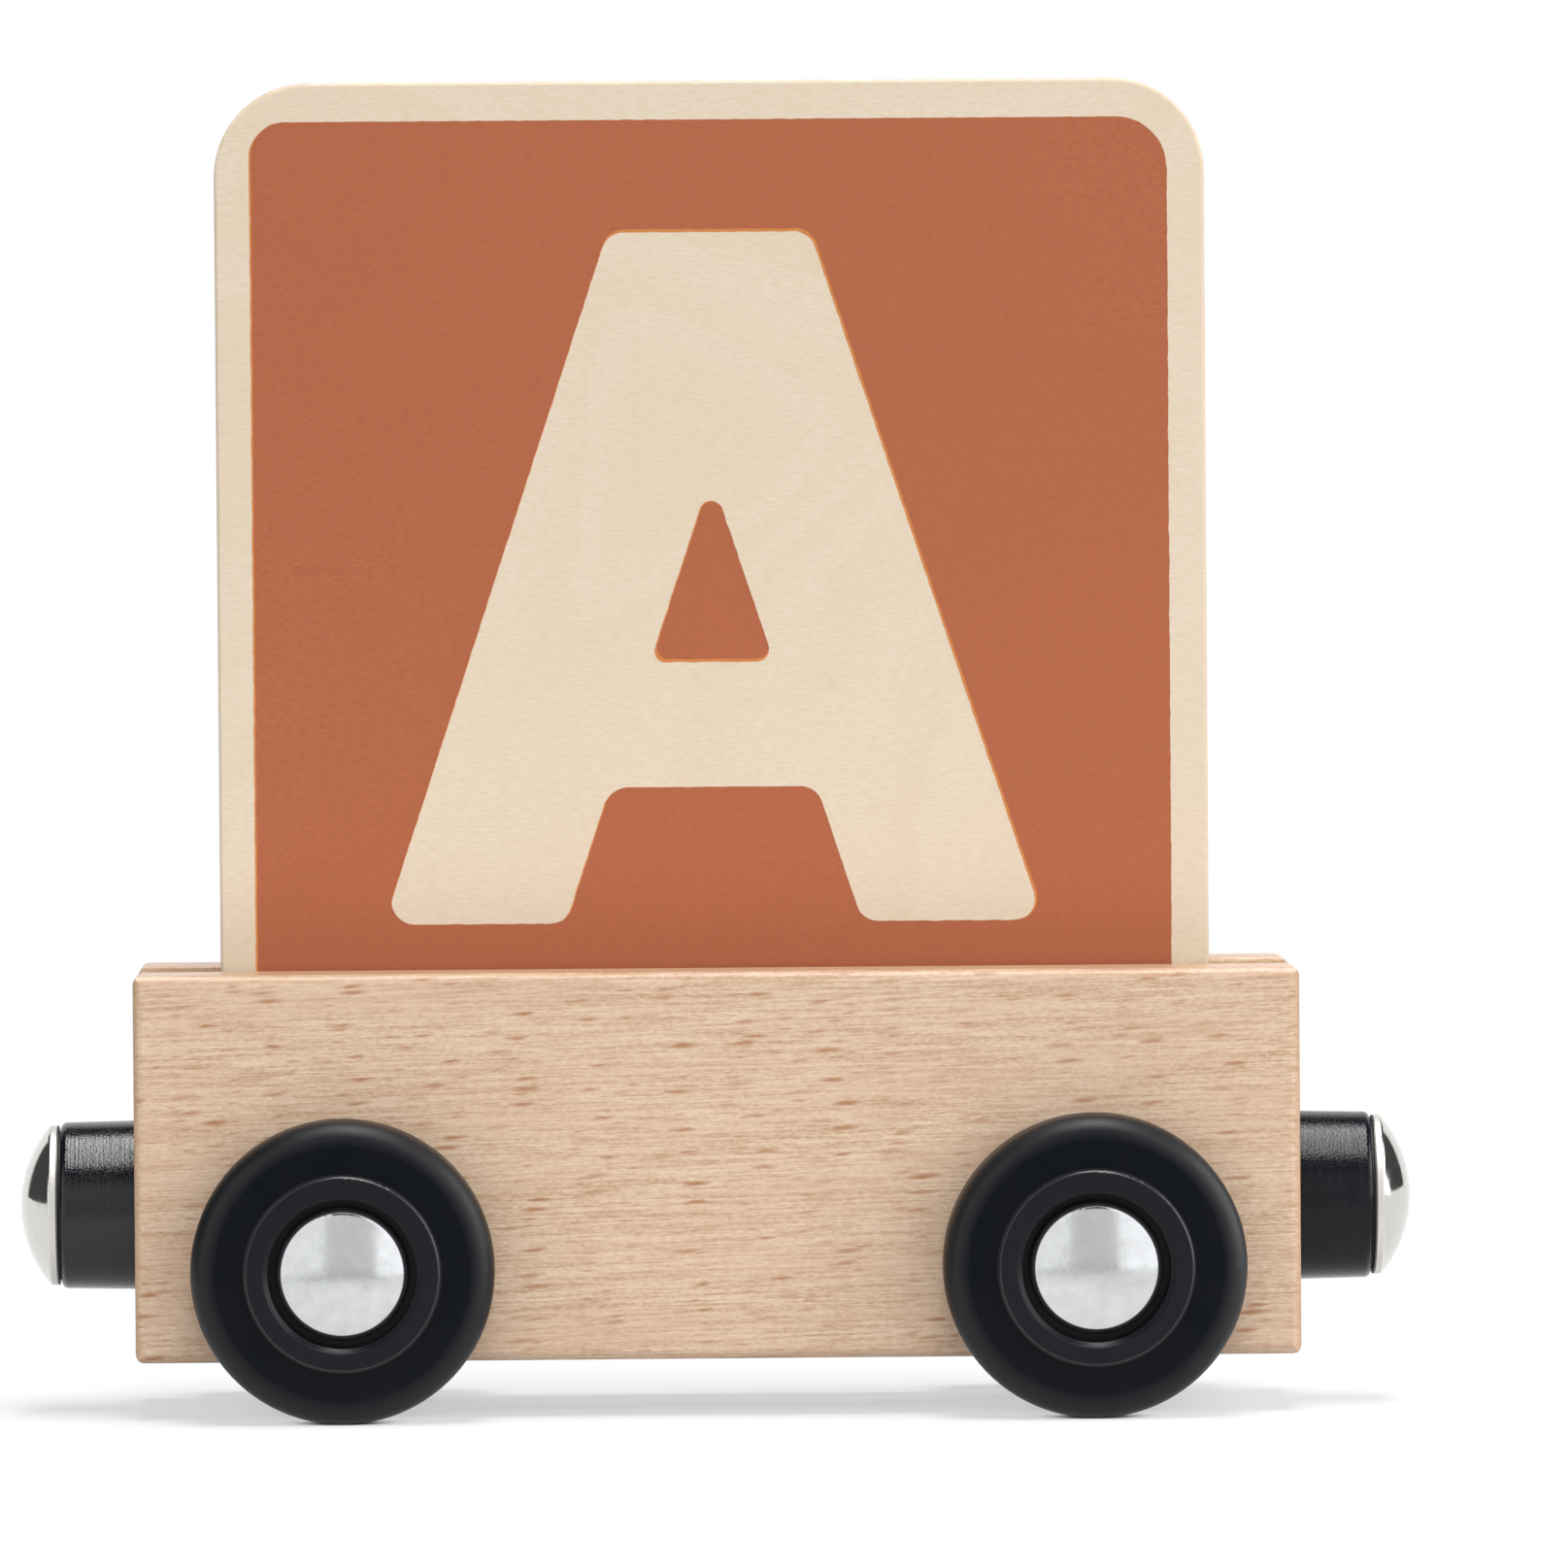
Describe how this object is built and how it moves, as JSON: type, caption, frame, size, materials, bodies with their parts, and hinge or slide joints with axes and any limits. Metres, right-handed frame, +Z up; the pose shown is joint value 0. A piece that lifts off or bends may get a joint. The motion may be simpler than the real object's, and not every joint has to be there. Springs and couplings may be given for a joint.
{
  "type": "letter train car",
  "caption": "Wooden railway wagon with an upright letter plate glued in a grooved block, free-turning wheels on through axles and a domed magnetic coupler at each end.",
  "frame": {"origin": "on the floor under the wheels, at the middle of the car's length and width", "axes": "+X along the train to the right end of the near side's view, +Y across the train away from the near side, +Z up"},
  "size_m": [0.0926, 0.0318, 0.0882],
  "materials": {
    "beech": "clear-waxed beech, sanded",
    "birch_plywood": "sanded birch veneer with a terracotta printed panel on each face",
    "axle_steel": "drawn steel rod",
    "black_wheel_plastic": "satin moulded plastic",
    "cap_steel": "satin zinc-plated steel",
    "spring_steel": "hardened spring steel",
    "black_barrel_plastic": "satin moulded plastic with fine turning lines",
    "ferrite": "pressed and sintered ferrite",
    "polished_steel": "polished nickel-plated steel"
  },
  "bodies": {
    "wagon": {"wagon_body": "beech", "letter_plate": "birch_plywood", "left_coupler_barrel": "black_barrel_plastic", "right_coupler_barrel": "black_barrel_plastic", "left_coupler_magnet": "ferrite", "right_coupler_magnet": "ferrite", "left_coupler_nail": "polished_steel", "right_coupler_nail": "polished_steel"},
    "left_axle_set": {"left_axle": "axle_steel", "left_near_axle_cap": "cap_steel", "left_far_axle_cap": "cap_steel", "left_near_cap_spring": "spring_steel", "left_far_cap_spring": "spring_steel"},
    "right_axle_set": {"right_axle": "axle_steel", "right_near_axle_cap": "cap_steel", "right_far_axle_cap": "cap_steel", "right_near_cap_spring": "spring_steel", "right_far_cap_spring": "spring_steel"},
    "left_near_wheel": {"left_near_wheel": "black_wheel_plastic"},
    "left_far_wheel": {"left_far_wheel": "black_wheel_plastic"},
    "right_near_wheel": {"right_near_wheel": "black_wheel_plastic"},
    "right_far_wheel": {"right_far_wheel": "black_wheel_plastic"}
  },
  "joints": [
    {"name": "left_axle_turn", "type": "hinge", "parent": "wagon", "child": "left_axle_set", "pos_m": [-0.02475, 0, 0.01], "axis": [0, 1, 0], "continuous": true},
    {"name": "right_axle_turn", "type": "hinge", "parent": "wagon", "child": "right_axle_set", "pos_m": [0.02475, 0, 0.01], "axis": [0, 1, 0], "continuous": true},
    {"name": "left_near_wheel_turn", "type": "hinge", "parent": "left_axle_set", "child": "left_near_wheel", "pos_m": [-0.02475, -0.01305, 0.01], "axis": [0, 1, 0], "continuous": true},
    {"name": "left_far_wheel_turn", "type": "hinge", "parent": "left_axle_set", "child": "left_far_wheel", "pos_m": [-0.02475, 0.01305, 0.01], "axis": [0, 1, 0], "continuous": true},
    {"name": "right_near_wheel_turn", "type": "hinge", "parent": "right_axle_set", "child": "right_near_wheel", "pos_m": [0.02475, -0.01305, 0.01], "axis": [0, 1, 0], "continuous": true},
    {"name": "right_far_wheel_turn", "type": "hinge", "parent": "right_axle_set", "child": "right_far_wheel", "pos_m": [0.02475, 0.01305, 0.01], "axis": [0, 1, 0], "continuous": true}
  ]
}
